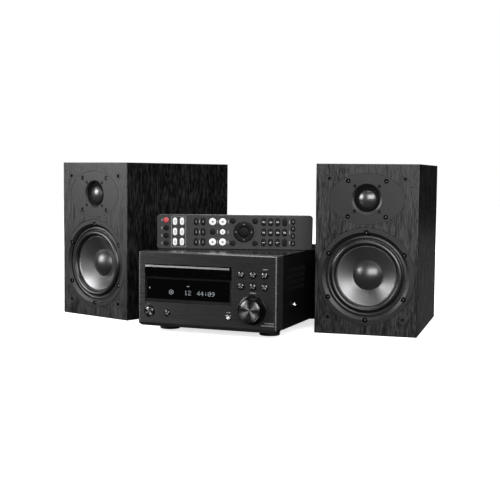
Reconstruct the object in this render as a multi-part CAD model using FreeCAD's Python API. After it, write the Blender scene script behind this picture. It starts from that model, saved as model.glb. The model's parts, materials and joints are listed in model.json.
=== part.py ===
import FreeCAD, Part
import math
import os
from FreeCAD import Vector, Placement, Rotation

# Mini hi-fi system: a CD receiver with a two-way bookshelf speaker each side and a remote control
# that stands on its long edge on the receiver. Millimetres, Z up, the floor at Z = 0.
# Every unit is drawn in its own frame: X to its right, Y to its back, its front face at Y = 0.

# ---- driving dimensions ------------------------------------------------------------------------
# receiver
RX_W = 210.0
RX_TOP = 114.0
RX_DEPTH = 270.0
FOOT_H = 12.0
FASCIA_BOTTOM = 9.2
FASCIA_DEPTH = 23.0
FASCIA_CORNER_R = 7.0
WALL = 3.0
SHEET = 1.0
TOP_PLATE_T = 2.5
# speaker
SP_W = 145.0
SP_H = 240.0
SP_D = 234.0
BAFFLE_T = 15.0
BOARD_T = 12.0
WOOFER_Z = 83.0
WOOFER_R = 68.5
TWEETER_Z = 191.2
TWEETER_RX = 53.0
TWEETER_RZ = 35.7
# remote control
RC_L = 227.6
RC_W = 50.3
RC_T = 19.0

# where each unit's front centre stands, seen from above, and how far it is turned about Z
UNITS = {
    "receiver": (0.0, 0.0, 0.0, 0.0),
    "left_speaker": (-237.3, 108.1, 0.0, -17.96),
    "right_speaker": (200.1, 99.2, 0.0, 5.23),
    "remote": (3.1, 97.4, RX_TOP, 20.54),
}

nodes = {}


# ---- helpers -----------------------------------------------------------------------------------
def box(x0, x1, y0, y1, z0, z1):
    return Part.makeBox(x1 - x0, y1 - y0, z1 - z0, Vector(x0, y0, z0))


def disc(x, z, r, y0, y1):
    """A cylinder along Y from y0 to y1."""
    return Part.makeCylinder(r, y1 - y0, Vector(x, y0, z), Vector(0, 1, 0))


def post(x, y, r, z0, z1):
    return Part.makeCylinder(r, z1 - z0, Vector(x, y, z0), Vector(0, 0, 1))


def fuse(first, *others):
    return first.fuse(list(others)).removeSplitter() if others else first


def cut(shape, *tools):
    return shape.cut(list(tools)) if tools else shape


def ring(x, z, r_out, r_in, y0, y1):
    return cut(disc(x, z, r_out, y0, y1), disc(x, z, r_in, y0 - 1, y1 + 1))


def turned(x, z, outline):
    """Turn an outline of (radius, depth) points about the Y axis through (x, z)."""
    points = [Vector(x + r, y, z) for r, y in outline]
    face = Part.Face(Part.makePolygon(points + points[:1]))
    return face.revolve(Vector(x, 0, z), Vector(0, 1, 0), 360)


def dome(x, z, r, base, height, wall):
    """A shell of a sphere facing the front: its rim of radius r lies at depth base."""
    sphere_r = (r * r + height * height) / (2 * height)
    centre = Vector(x, base - height + sphere_r, z)
    shell = cut(Part.makeSphere(sphere_r, centre), Part.makeSphere(sphere_r - wall, centre))
    return shell.common(disc(x, z, r + 1, base - height - 1, base))


def rounded(x0, x1, z0, z1, y0, y1, r):
    """A block along Y whose four edges parallel to Y are rounded."""
    block = box(x0, x1, y0, y1, z0, z1)
    along = [e for e in block.Edges if abs(e.tangentAt(e.FirstParameter).y) > 0.99]
    return block.makeFillet(r, along)


def edges_at(shape, **where):
    """The edges whose every vertex lies at the given coordinates, such as y=0."""
    found = []
    for edge in shape.Edges:
        if all(abs(getattr(v.Point, k) - value) < 1e-3 for v in edge.Vertexes for k, value in where.items()):
            found.append(edge)
    return found


def ellipse_plate(z, rx, rz, y0, y1):
    ellipse = Part.Ellipse(Vector(0, y0, z), rx, rz)
    ellipse.Axis = Vector(0, -1, 0)
    ellipse.XAxis = Vector(1, 0, 0)
    return Part.Face(Part.Wire(ellipse.toShape())).extrude(Vector(0, y1 - y0, 0))


def place(name, shape, unit):
    x, y, z, turn = UNITS[unit]
    moved = shape.copy()
    moved.Placement = Placement(Vector(x, y, z), Rotation(Vector(0, 0, 1), turn)).multiply(moved.Placement)
    nodes[name] = moved


# ---- receiver ----------------------------------------------------------------------------------
HALF = RX_W / 2
WINDOW = (-94.0, 38.5, 43.5, 97.0)
TRAY_SLOT = (-94.0, 35.6, 79.3, 97.0)
KEY_COLUMNS = (52.3, 69.5, 86.7)
KEY_ROWS = (88.0, 72.0)
KEY_R = 4.9
KNOB = (69.0, 40.2)
KNOB_R = 20.5
POWER = (-86.5, 30.0)
SOURCE = (-59.0, 29.0)
JACK = (34.0, 28.2)
JACK_BORE_R = 1.8
DISC = (-29.2, 70.0)
TRAY_FLOOR = 81.5
TRAY_RIM = 86.5
TRAY_BACK = 157.0
GAP = 0.25
HUB_R = 14.5
FEET = [(x, y) for x in (-77.0, 77.0) for y in (48.0, 236.0)]
CASE_SCREWS = [(y, 41.2) for y in (71.5, 236.0)]
VENT_ROWS = (66.0, 74.5, 83.0, 91.5)


def fascia():
    side = [Vector(-HALF, y, z) for y, z in
            ((0, FASCIA_BOTTOM + 5.0), (0, RX_TOP - 0.9), (0.9, RX_TOP), (FASCIA_DEPTH, RX_TOP),
             (FASCIA_DEPTH, FASCIA_BOTTOM), (3.4, FASCIA_BOTTOM))]
    body = Part.Face(Part.makePolygon(side + side[:1])).extrude(Vector(RX_W, 0, 0))
    upright = [e for e in edges_at(body, y=0) if abs(e.tangentAt(e.FirstParameter).z) > 0.99]
    body = body.makeFillet(3.5, upright)
    r = FASCIA_CORNER_R
    body = body.common(rounded(-HALF, HALF, FASCIA_BOTTOM, RX_TOP + r, 0, FASCIA_DEPTH, r))
    body = cut(body, box(-HALF + WALL, HALF - WALL, WALL, FASCIA_DEPTH + 1,
                         FASCIA_BOTTOM + WALL, RX_TOP - WALL))
    x0, x1, z0, z1 = WINDOW
    openings = [box(x0, x1, -1, WALL + 1, z0, z1), disc(*JACK, 4.0, -1, 4), disc(*POWER, 7.4, -1, 4),
                disc(*SOURCE, 4.6, -1, 4), disc(*KNOB, 5.2, -1, 4)]
    openings += [disc(x, z, KEY_R + GAP, -1, 4) for x in KEY_COLUMNS for z in KEY_ROWS]
    return cut(body, *openings)


def display_window():
    x0, x1, z0, z1 = WINDOW
    pane = box(x0, x1, 0.6, WALL, z0, z1)
    tx0, tx1, tz0, tz1 = TRAY_SLOT
    return cut(pane, box(tx0 - 1, tx1, 0, WALL + 1, tz0, tz1 + 1))


def front_board():
    pcb = fuse(box(-98, 98, 13, 14.6, 18, 78), box(42, 98, 13, 14.6, 78, 100))
    display = box(-88, 35, 6, 13, 50, 77)
    switches = [box(x - 3, x + 3, 9.5, 13, z - 3, z + 3) for x in KEY_COLUMNS for z in KEY_ROWS]
    switches += [box(x - 3.5, x + 3.5, 9.5, 13, z - 3.5, z + 3.5) for x, z in (POWER, SOURCE)]
    encoder = fuse(box(KNOB[0] - 7, KNOB[0] + 7, 6.5, 13, KNOB[1] - 7, KNOB[1] + 7),
                   ring(*KNOB, 4.9, 3.3, 0.5, 6.5))
    shaft_room = disc(*KNOB, 3.3, 0, 9)
    return fuse(pcb, display, cut(encoder, shaft_room), *switches)


def volume_knob():
    outline = [(0, -10.6), (14.4, -10.6), (15.0, -11.5), (15.9, -11.5), (16.6, -10.8), (KNOB_R, -0.6),
               (KNOB_R - 1.8, -0.6), (14.5, -8.6), (6, -8.6), (6, -1.5), (3.25, -1.5), (3.25, 8), (0, 8)]
    return turned(*KNOB, outline)


def push_button(x, z, r, proud, dish):
    """A cap with a rounded front edge, its stop flange behind the fascia and the stem to its switch."""
    cap = disc(x, z, r, -proud, WALL + 1.2)
    cap = cap.makeFillet(dish, edges_at(cap, y=-proud))
    flange = disc(x, z, r + 1.0, WALL + 1.2, WALL + 2.2)
    stem = disc(x, z, 1.4, WALL + 2.2, 8.2)
    return fuse(cap, flange, stem)


def headphone_jack():
    nut = ring(*JACK, 3.75, JACK_BORE_R, -0.8, WALL)
    block = cut(box(JACK[0] - 6, JACK[0] + 6, WALL, 12.6, JACK[1] - 6, JACK[1] + 6),
                disc(*JACK, JACK_BORE_R, WALL - 1, 12.2))
    return fuse(nut, block)


def chassis_tray():
    edge = HALF - SHEET - 0.5
    pan = fuse(box(-edge, edge, FASCIA_DEPTH + 0.4, RX_DEPTH - SHEET, FOOT_H, FOOT_H + SHEET),
               box(-edge, -edge + SHEET, FASCIA_DEPTH + 0.4, RX_DEPTH - SHEET, FOOT_H, FOOT_H + 12),
               box(edge - SHEET, edge, FASCIA_DEPTH + 0.4, RX_DEPTH - SHEET, FOOT_H, FOOT_H + 12))
    slots = [box(x - 20, x + 20, y - 1.5, y + 1.5, FOOT_H - 1, FOOT_H + 2)
             for x in (-45, 0, 45) for y in range(120, 200, 10)]
    holes = [box(s * edge - 2, s * edge + 2, 71.5 - 2, 71.5 + 2, 22, 26) for s in (-1, 1)]
    return cut(pan, *slots, *holes)


def top_cover():
    under = RX_TOP - TOP_PLATE_T
    outer = box(-HALF, HALF, FASCIA_DEPTH, RX_DEPTH - SHEET, FOOT_H, under)
    inside = HALF - SHEET
    cover = cut(outer, box(-inside, inside, FASCIA_DEPTH - 1, RX_DEPTH, FOOT_H - 1, under - SHEET))
    slots = []
    for i, z in enumerate(VENT_ROWS):
        first = 38.0 + (3.0 if i % 2 else 0.0)
        slots += [box(-HALF - 1, HALF + 1, first + 6 * k, first + 6 * k + 2.4, z - 3.2, z + 3.2)
                  for k in range(13)]
    slots += [box(x - 1.2, x + 1.2, y - 7, y + 7, under - 3, under + 1)
              for x in range(20, 92, 6) for y in (190, 208, 226)]
    screws = [Part.makeCylinder(2.0, RX_W + 4, Vector(-HALF - 2, y, z), Vector(1, 0, 0))
              for y, z in CASE_SCREWS]
    return cut(cover, *slots, *screws)


def top_plate():
    plate = box(-HALF + 0.4, HALF - 0.4, FASCIA_DEPTH + 0.2, RX_DEPTH - SHEET, RX_TOP - TOP_PLATE_T, RX_TOP)
    plate = plate.makeFillet(0.6, edges_at(plate, z=RX_TOP))
    return cut(plate, *[box(x - 1.2, x + 1.2, y - 7, y + 7, RX_TOP - 4, RX_TOP + 1)
                        for x in range(20, 92, 6) for y in (190, 208, 226)])


BINDING_POSTS = [(x, 46.0) for x in (18.0, 37.0, 56.0, 75.0)]
RCA_SOCKETS = [(x, z) for x in (-70.0, -54.0, -38.0) for z in (78.0, 94.0)]
AERIAL_SOCKET = (-8.0, 88.0)
INLET = (-72.0, 38.0)
POST_HOLE_R = 2.05
REAR = RX_DEPTH


def rear_panel():
    panel = box(-HALF, HALF, REAR - SHEET, REAR, FOOT_H, RX_TOP)
    panel = panel.makeFillet(0.4, edges_at(panel, y=REAR))
    holes = [disc(x, z, 5.2, REAR - 2, REAR + 1) for x, z in BINDING_POSTS]
    holes += [disc(x, z, 5.2, REAR - 2, REAR + 1) for x, z in RCA_SOCKETS]
    holes += [disc(*AERIAL_SOCKET, 5.2, REAR - 2, REAR + 1)]
    holes += [box(INLET[0] - 11, INLET[0] + 11, REAR - 2, REAR + 1, INLET[1] - 8, INLET[1] + 8)]
    holes += [box(x, x + 2.2, REAR - 2, REAR + 1, 60, 100) for x in range(22, 92, 6)]
    return cut(panel, *holes)


def binding_post(x, z, panel_y, proud):
    """A clamp post: threaded core with a cross hole's banana socket in its end, and its round nut."""
    body = fuse(disc(x, z, 5.0, panel_y - 6, panel_y), disc(x, z, 5.9, panel_y, panel_y + 3.0),
                disc(x, z, 2.9, panel_y + 3.0, panel_y + 6.5),
                disc(x, z, 5.4, panel_y + 6.5, panel_y + proud))
    return cut(body, disc(x, z, POST_HOLE_R, panel_y + proud - 14, panel_y + proud + 1))


def rear_connectors():
    solids = [binding_post(x, z, REAR, 15.5) for x, z in BINDING_POSTS]
    for x, z in RCA_SOCKETS:
        shell = fuse(disc(x, z, 5.0, REAR - 8, REAR), disc(x, z, 5.8, REAR, REAR + 1.5),
                     disc(x, z, 4.15, REAR + 1.5, REAR + 9.0))
        solids.append(cut(shell, disc(x, z, 1.7, REAR - 2, REAR + 10)))
    aerial = fuse(disc(*AERIAL_SOCKET, 5.0, REAR - 8, REAR), disc(*AERIAL_SOCKET, 6.5, REAR, REAR + 1.5),
                  disc(*AERIAL_SOCKET, 4.7, REAR + 1.5, REAR + 10.0))
    solids.append(cut(aerial, disc(*AERIAL_SOCKET, 3.2, REAR + 1.0, REAR + 11)))
    x, z = INLET
    inlet = fuse(box(x - 11, x + 11, REAR - 16, REAR, z - 8, z + 8),
                 box(x - 14, x + 14, REAR, REAR + 1.6, z - 11, z + 11))
    inlet = cut(inlet, rounded(x - 8.5, x + 8.5, z - 4.8, z + 4.8, REAR - 13, REAR + 2, 4.7))
    pins = [disc(x + dx, z, 1.2, REAR - 14, REAR - 2) for dx in (-4.3, 4.3)]
    solids.append(fuse(inlet, *pins))
    return Part.makeCompound(solids)


def main_board():
    pcb = box(-98, 98, 112, 258, 20, 21.6)
    caps = [post(x, y, r, 21.6, 21.6 + h) for x, y, r, h in
            ((-70, 140, 12.5, 34), (-70, 168, 12.5, 34), (-40, 136, 8, 22), (-40, 156, 8, 22),
             (72, 130, 6, 16))]
    sink = fuse(box(-12, -8, 205, 252, 21.6, 66),
                *[box(-8, 12, 205 + 6 * k, 207 + 6 * k, 21.6, 66) for k in range(8)])
    chips = [box(20, 44, 150, 174, 21.6, 24), box(52, 68, 196, 226, 21.6, 25)]
    legs = [post(x, y, 3.5, FOOT_H + SHEET, 20) for x in (-90, 90) for y in (120, 250)]
    return fuse(pcb, sink, *caps, *chips, *legs)


def power_transformer():
    core = box(36, 94, 45, 93, FOOT_H + SHEET, 58)
    coils = rounded(42, 88, 19, 53, 38, 100, 6)
    return fuse(core, coils)


def cd_loader():
    x, y = DISC
    floor = box(x - 70, x + 70, 32, 160, 66, 69)
    rails = [box(x + s * 67.75 - 2.25, x + s * 67.75 + 2.25, 32, 160, 69, 92) for s in (-1, 1)]
    rails += [box(x + s * 67.75 - 2.25, x + s * 67.75 + 2.25, 5, 32, 79.2, 92) for s in (-1, 1)]
    bridge = box(x - 70, x + 70, y - 14, y + 14, 92, 95)
    clamp = post(x, y, 13, 95, 98)
    sled = fuse(box(x - 22, x + 22, y - 22, y + 60, 69, 73), box(x - 10, x + 10, y + 24, y + 44, 73, 80))
    motor = post(x, y, 11, 73, 77)
    legs = [box(x + s * 67 - 3, x + s * 67 + 3, y1, y1 + 8, FOOT_H + SHEET, 66)
            for s in (-1, 1) for y1 in (34, 101)]
    return fuse(floor, bridge, clamp, sled, motor, *rails, *legs)


def turntable_hub():
    x, y = DISC
    hub = fuse(post(x, y, HUB_R, 77.1, 82.4), post(x, y, 7.3, 82.4, 85.2))
    return hub.makeChamfer(1.0, edges_at(hub, z=85.2))


def disc_tray():
    x, y = DISC
    half = 64.5
    plate = box(x - half, x + half, 4.2, TRAY_BACK, TRAY_FLOOR - 2.0, TRAY_RIM)
    wells = [post(x, y, 60.6, TRAY_RIM - 2.6, TRAY_RIM + 1), post(x, y, 40.6, TRAY_FLOOR, TRAY_RIM + 1)]
    slot = box(x - 17, x + 17, y, TRAY_BACK + 1, TRAY_FLOOR - 3, TRAY_RIM + 1)
    slot = fuse(slot, post(x, y, 17, TRAY_FLOOR - 3, TRAY_RIM + 1))
    return cut(plate, slot, *wells)


def tray_front():
    x0, x1, z0, z1 = TRAY_SLOT
    bar = box(x0 + 0.3, x1 - 0.3, 0, 4.2, z0 + 0.3, z1 - 0.3)
    return cut(bar, box(x0, x1, -1, 0.5, 91.9, 92.2), box(x0, x1, -1, 0.4, 85.2, 85.8))


def receiver_feet():
    solids = []
    for x, y in FEET:
        foot = post(x, y, 14.5, 0, FOOT_H)
        solids.append(foot.makeFillet(1.5, edges_at(foot, z=0)))
    return Part.makeCompound(solids)


def case_screws():
    solids = []
    for side in (-1, 1):
        for y, z in CASE_SCREWS:
            start = Vector(side * (HALF - 4), y, z)
            shank = Part.makeCylinder(1.9, 4, start, Vector(side, 0, 0))
            head = Part.makeCylinder(4.2, 1.8, Vector(side * HALF, y, z), Vector(side, 0, 0))
            head = head.makeFillet(1.2, edges_at(head, x=side * (HALF + 1.8)))
            drive = Part.makeBox(3, 5.0, 1.0, Vector(side * (HALF + 2.3) - 1.5, y - 2.5, z - 0.5))
            cross = Part.makeBox(3, 1.0, 5.0, Vector(side * (HALF + 2.3) - 1.5, y - 0.5, z - 2.5))
            solids.append(cut(fuse(shank, head), drive, cross))
    return Part.makeCompound(solids)


KEY_NAMES = {
    (0, 0): "key_top_left", (1, 0): "key_top_middle", (2, 0): "key_top_right",
    (0, 1): "key_low_left", (1, 1): "key_low_middle", (2, 1): "key_low_right",
}


def make_receiver():
    for function in (fascia, display_window, front_board, volume_knob, headphone_jack, chassis_tray,
                     top_cover, top_plate, rear_panel, rear_connectors, main_board, power_transformer,
                     cd_loader, turntable_hub, disc_tray, tray_front, receiver_feet, case_screws):
        place(function.__name__, function(), "receiver")
    place("power_button", push_button(*POWER, 7.0, 1.2, 0.9), "receiver")
    place("source_button", push_button(*SOURCE, 4.3, 1.2, 0.9), "receiver")
    for (column, row), name in KEY_NAMES.items():
        place(name, push_button(KEY_COLUMNS[column], KEY_ROWS[row], KEY_R, 2.0, 1.6), "receiver")


# ---- speakers ----------------------------------------------------------------------------------
SOCKETS = [(x, z) for x in (-53.0, 53.0) for z in (23.5, 219.0)]
SOCKET_BORE_R = 2.75
FLANGE_T = 3.5
WOOFER_SCREWS = [(61.5 * math.sin(math.radians(60 * k)), WOOFER_Z + 61.5 * math.cos(math.radians(60 * k)))
                 for k in range(6)]
TWEETER_SCREWS = [(sx * 26.7, TWEETER_Z + sz * 24.9) for sx in (-1, 1) for sz in (-1, 1)]
CELL_SCREWS = [(sx * 17.3, TWEETER_Z + sz * 17.6) for sx in (-1, 1) for sz in (-1, 1)]
SCREW_HEAD_R = 3.5
SEAT_R = 57.2
ROLL_R = 47.3
SURROUND_IN_R = 42.7
CONE_R = 42.6
CONE_FRONT = 6.4
CAP_R = 21.2
CAP_DEPTH = 18.0
COIL_R = 13.0
PLATE = (-42.0, 42.0, 42.0, 192.0)
PORT = (0.0, 158.0)
PORT_BORE_R = 17.0
CUP = (-30.0, 30.0, 58.0, 104.0)
SPEAKER_POSTS = [(-13.0, 81.0), (13.0, 81.0)]
BACK = SP_D


def cabinet():
    shell = box(-SP_W / 2, SP_W / 2, BAFFLE_T, BACK, 0, SP_H)
    shell = shell.makeFillet(0.8, edges_at(shell, y=BACK))
    wall_x = SP_W / 2 - BOARD_T
    inside = box(-wall_x, wall_x, BAFFLE_T - 1, BACK - BOARD_T, BOARD_T, SP_H - BOARD_T)
    x0, x1, z0, z1 = PLATE
    rebate = rounded(x0 - GAP, x1 + GAP, z0 - GAP, z1 + GAP, BACK - 2.5, BACK + 1, 8)
    through = box(CUP[0] - 4, CUP[1] + 4, BACK - 20, BACK + 1, CUP[2] - 4, CUP[3] + 4)
    return cut(shell, inside, rebate, through, disc(*PORT, 20.2, BACK - 20, BACK + 1))


def front_baffle():
    board = box(-SP_W / 2, SP_W / 2, 0, BAFFLE_T, 0, SP_H)
    board = board.makeFillet(1.2, edges_at(board, y=0))
    tools = [disc(0, WOOFER_Z, WOOFER_R + 0.3, -1, FLANGE_T), disc(0, WOOFER_Z, 59.3, 0, BAFFLE_T + 1),
             ellipse_plate(TWEETER_Z, TWEETER_RX + 0.3, TWEETER_RZ + 0.3, -1, FLANGE_T),
             disc(0, TWEETER_Z, 29.0, 0, BAFFLE_T + 1)]
    tools += [disc(x, z, 4.2, -1, 12) for x, z in SOCKETS] + [disc(x, z, 5.2, -1, 1.0) for x, z in SOCKETS]
    tools += [disc(x, z, 1.5, 0, 12) for x, z in WOOFER_SCREWS + TWEETER_SCREWS]
    return cut(board, *tools)


def grille_sockets():
    solids = []
    for x, z in SOCKETS:
        cup = fuse(disc(x, z, 5.0, 0, 1.0), disc(x, z, 4.1, 1.0, 12.0))
        solids.append(cut(cup, disc(x, z, SOCKET_BORE_R, -1, 10.5)))
    return Part.makeCompound(solids)


def woofer_frame():
    flange = turned(0, WOOFER_Z, [(WOOFER_R, 0.25), (WOOFER_R - 0.25, 0), (61.8, 0), (SEAT_R, 2.8),
                                  (SEAT_R, 5.4), (59.0, 5.4), (59.0, FLANGE_T), (WOOFER_R, FLANGE_T)])
    basket = turned(0, WOOFER_Z, [(59.0, 5.4), (54.2, 5.4), (54.2, 14), (38, 39), (38, 47), (30, 47),
                                  (30, 49), (40, 49), (40, 41), (59.0, 15)])
    windows = []
    for k in range(6):
        window = box(-17, 17, 17, 39, WOOFER_Z + 30, WOOFER_Z + 70)
        windows.append(window.rotate(Vector(0, 0, WOOFER_Z), Vector(0, 1, 0), 60 * k + 30))
    holes = [disc(x, z, 2.0, -1, 5) for x, z in WOOFER_SCREWS]
    recesses = [disc(x, z, SCREW_HEAD_R + 0.2, -1, 1.6) for x, z in WOOFER_SCREWS]
    return cut(fuse(flange, basket), *windows, *holes, *recesses)


def woofer_surround():
    """A half roll between an outer lip on the frame's seat and an inner lip at the cone's edge."""
    z = WOOFER_Z
    crest = Part.Edge(Part.Arc(Vector(51.5, 4.6, z), Vector(ROLL_R, 0.7, z), Vector(43.3, 5.2, z)))
    under = Part.Edge(Part.Arc(Vector(44.1, 6.0, z), Vector(ROLL_R, 1.5, z), Vector(50.6, 5.4, z)))
    inner = [(43.3, 5.2), (SURROUND_IN_R, 5.2), (SURROUND_IN_R, 6.0), (44.1, 6.0)]
    outer = [(50.6, 5.4), (SEAT_R - 0.1, 5.4), (SEAT_R - 0.1, 4.6), (51.5, 4.6)]
    lips = [[Part.makeLine(Vector(*one, z), Vector(*two, z)) for one, two in zip(lip, lip[1:])]
            for lip in (inner, outer)]
    face = Part.Face(Part.Wire([crest] + lips[0] + [under] + lips[1]))
    return face.revolve(Vector(0, 0, z), Vector(0, 1, 0), 360)


def woofer_cone():
    slope = (CAP_DEPTH - CONE_FRONT - 0.8) / (40.6 - CAP_R)
    neck_y = CAP_DEPTH + slope * (CAP_R - COIL_R)
    return turned(0, WOOFER_Z, [
        (CONE_R, CONE_FRONT), (41.5, CONE_FRONT), (41.0, CONE_FRONT + 0.9), (40.6, CONE_FRONT + 0.8),
        (CAP_R, CAP_DEPTH), (COIL_R, neck_y), (COIL_R - 0.5, neck_y), (COIL_R - 0.5, 46), (COIL_R, 46),
        (COIL_R, neck_y + 1.2), (CAP_R, CAP_DEPTH + 1.0), (41.2, CONE_FRONT + 2.0),
        (CONE_R, CONE_FRONT + 1.2)])


def dust_cap():
    return dome(0, WOOFER_Z, CAP_R, CAP_DEPTH, 9.0, 0.7)


def woofer_motor():
    motor = fuse(disc(0, WOOFER_Z, 36, 49, 53), disc(0, WOOFER_Z, 40, 53, 67), disc(0, WOOFER_Z, 37, 67, 72))
    gap = cut(disc(0, WOOFER_Z, 14.4, 48, 67), disc(0, WOOFER_Z, 11.6, 47, 68))
    return cut(fuse(motor, disc(0, WOOFER_Z, 11.6, 46, 49)), gap)


def tweeter_plate():
    z = TWEETER_Z
    plate = cut(ellipse_plate(z, TWEETER_RX, TWEETER_RZ, 0, FLANGE_T), disc(0, z, 21.4, -1, 5))
    horn = turned(0, z, [(21.4, 0), (18.4, 1.8), (18.0, 4.8), (13.2, 5.0), (13.2, 6.5), (24, 6.5),
                         (24, FLANGE_T), (21.4, FLANGE_T)])
    plate = fuse(plate, horn)
    holes = [disc(x, zz, 2.0, -1, 6) for x, zz in TWEETER_SCREWS + CELL_SCREWS]
    recesses = [disc(x, zz, 3.4, -1, 1.4) for x, zz in TWEETER_SCREWS]
    recesses += [disc(x, zz, 2.4, -1, 0.8) for x, zz in CELL_SCREWS]
    motor = cut(fuse(disc(0, z, 24, 6.6, 12), disc(0, z, 27, 12, 24), disc(0, z, 24.5, 24, 28)),
                cut(disc(0, z, 14.0, 5, 24), disc(0, z, 10.5, 5, 24)))
    return Part.makeCompound([cut(plate, *holes, *recesses), motor])


def tweeter_dome():
    return fuse(dome(0, TWEETER_Z, 12.6, 4.9, 4.4, 0.6), ring(0, TWEETER_Z, 12.6, 12.0, 4.9, 14.0))


def driver_screws():
    solids = []
    for x, z in WOOFER_SCREWS:
        solids.append(fuse(disc(x, z, SCREW_HEAD_R, 0.3, 1.6), disc(x, z, 1.45, 1.6, 11.5)))
    for x, z in TWEETER_SCREWS:
        solids.append(fuse(disc(x, z, 3.2, 0.3, 1.4), disc(x, z, 1.45, 1.4, 11.5)))
    for x, z in CELL_SCREWS:
        solids.append(fuse(disc(x, z, 2.2, 0.1, 0.8), disc(x, z, 1.5, 0.8, 6.0)))
    sockets = [disc(x, z, 1.5, -1, 1.1) for x, z in WOOFER_SCREWS + TWEETER_SCREWS]
    return Part.makeCompound([cut(solid, *sockets) for solid in solids])


def terminal_plate():
    x0, x1, z0, z1 = PLATE
    plate = rounded(x0, x1, z0, z1, BACK - 2.5, BACK, 8)
    cx0, cx1, cz0, cz1 = CUP
    plate = fuse(plate, box(cx0 - 2, cx1 + 2, BACK - 22, BACK - 2, cz0 - 2, cz1 + 2),
                 disc(*PORT, 19.5, BACK - 78, BACK - 1))
    plate = cut(plate, rounded(cx0, cx1, cz0, cz1, BACK - 20, BACK + 1, 4),
                disc(*PORT, PORT_BORE_R, BACK - 79, BACK + 1))
    holes = [disc(x, z, 5.1, BACK - 24, BACK) for x, z in SPEAKER_POSTS]
    posts = [binding_post(x, z, BACK - 20, 17.0) for x, z in SPEAKER_POSTS]
    return Part.makeCompound([cut(plate, *holes)] + posts)


def make_speaker(side):
    for function in (cabinet, front_baffle, grille_sockets, woofer_frame, woofer_surround, woofer_cone,
                     dust_cap, woofer_motor, tweeter_plate, tweeter_dome, driver_screws, terminal_plate):
        place(f"{side}_{function.__name__}", function(), f"{side}_speaker")


# ---- remote control ----------------------------------------------------------------------------
# X runs along the remote from its emitter end, Z across its width, and Y from the keys to its back.
KEY_PROUD = 1.2
FACE_T = 2.0
PARTING = 9.0
KEY_REACH = 3.4
TRAVEL_GAP = 0.15
THREE_ROWS = (10.6, 25.4, 40.5)
RED_KEY = [(13.3, 42.4, 4.0)]
ROUND_DARK = [(13.3, z, 3.7) for z in (8.5, 19.6, 30.8)] + [(81.3, 25.5, 4.0)]
ROUND_DARK += [(x, z, 4.0) for x in (110.6, 143.2) for z in (9.0, 41.8)]
ROUND_WHITE = [(x, z, 5.25) for x in (81.3, 96.0) for z in (10.8, 40.4)] + [(96.0, 25.5, 4.0)]
PILLS_WHITE = [(x, z, 6.2, 11.0) for x in (26.3, 36.5) for z in THREE_ROWS]
PILLS_DARK = [(x, z, 6.2, 11.0) for x in (57.1, 67.3) for z in THREE_ROWS]
NUMBER_KEYS = [(x, z, 6.7, 11.4) for x in (155.8, 166.0, 176.3, 186.6) for z in THREE_ROWS]
NARROW_KEYS = [(198.7, z, 5.9, 8.4) for z in (9.6, 20.3, 31.1, 41.4)]
RING = (126.9, 25.7)
RING_R = 15.0
ENTER_R = 7.5
BAY = (150.0, 208.0)
CELL_R = 5.1
CELL_L = 44.5


def from_end(x):
    return x - RC_L / 2


def pill(x, z, w, h, y0, y1, grow=0.0):
    w = w + 2 * grow
    h = h + 2 * grow
    return rounded(from_end(x) - w / 2, from_end(x) + w / 2, z - h / 2, z + h / 2, y0, y1, w / 2 - 0.05)


def key_solids(rounds, pills):
    solids = []
    for x, z, r in rounds:
        key = disc(from_end(x), z, r, -KEY_PROUD, KEY_REACH)
        solids.append(key.makeFillet(0.7, edges_at(key, y=-KEY_PROUD)))
    for x, z, w, h in pills:
        key = pill(x, z, w, h, -KEY_PROUD, KEY_REACH)
        solids.append(key.makeFillet(0.6, edges_at(key, y=-KEY_PROUD)))
    return Part.makeCompound(solids) if len(solids) > 1 else solids[0]


def key_holes():
    rounds = RED_KEY + ROUND_DARK + ROUND_WHITE
    pills = PILLS_WHITE + PILLS_DARK + NUMBER_KEYS + NARROW_KEYS
    holes = [disc(from_end(x), z, r + TRAVEL_GAP, -1, FACE_T + 1) for x, z, r in rounds]
    holes += [pill(x, z, w, h, -1, FACE_T + 1, TRAVEL_GAP) for x, z, w, h in pills]
    holes.append(disc(from_end(RING[0]), RING[1], RING_R + TRAVEL_GAP, -1, FACE_T + 1))
    return holes


def remote_front_case():
    shell = rounded(-RC_L / 2, RC_L / 2, 0, RC_W, 0, PARTING, 4.5)
    shell = shell.makeFillet(1.0, edges_at(shell, y=0))
    hollow = rounded(-RC_L / 2 + 2, RC_L / 2 - 2, 2, RC_W - 2, FACE_T, PARTING + 1, 2.5)
    return cut(shell, hollow, *key_holes())


def remote_back_case():
    shell = rounded(-RC_L / 2, RC_L / 2, 0, RC_W, PARTING, RC_T, 4.5)
    shell = shell.makeFillet(3.5, edges_at(shell, y=RC_T))
    hollow = rounded(-RC_L / 2 + 2, RC_L / 2 - 2, 2, RC_W - 2, PARTING - 1, RC_T - 2, 2.5)
    x0, x1 = [from_end(x) for x in BAY]
    doorway = box(x0, x1, RC_T - 2.5, RC_T + 1, 10, RC_W - 10)
    notch = box(x0 + 1, x0 + 6, RC_T - 3.5, RC_T - 1, 14, RC_W - 14)
    return cut(cut(shell, hollow), doorway, notch)


def battery_door():
    x0, x1 = [from_end(x) for x in BAY]
    door = box(x0 + 0.2, x1 - 0.2, RC_T - 2.0, RC_T, 10.2, RC_W - 10.2)
    grips = [box(x1 - 22 + 3 * k, x1 - 20.6 + 3 * k, RC_T - 0.5, RC_T + 1, 17, RC_W - 17) for k in range(6)]
    return cut(door, *grips)


def remote_board():
    board = box(-RC_L / 2 + 5, RC_L / 2 - 5, 4.6, 5.8, 4, RC_W - 4)
    return fuse(board, box(-20, 5, 5.8, 7.8, 15, 33))


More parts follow.
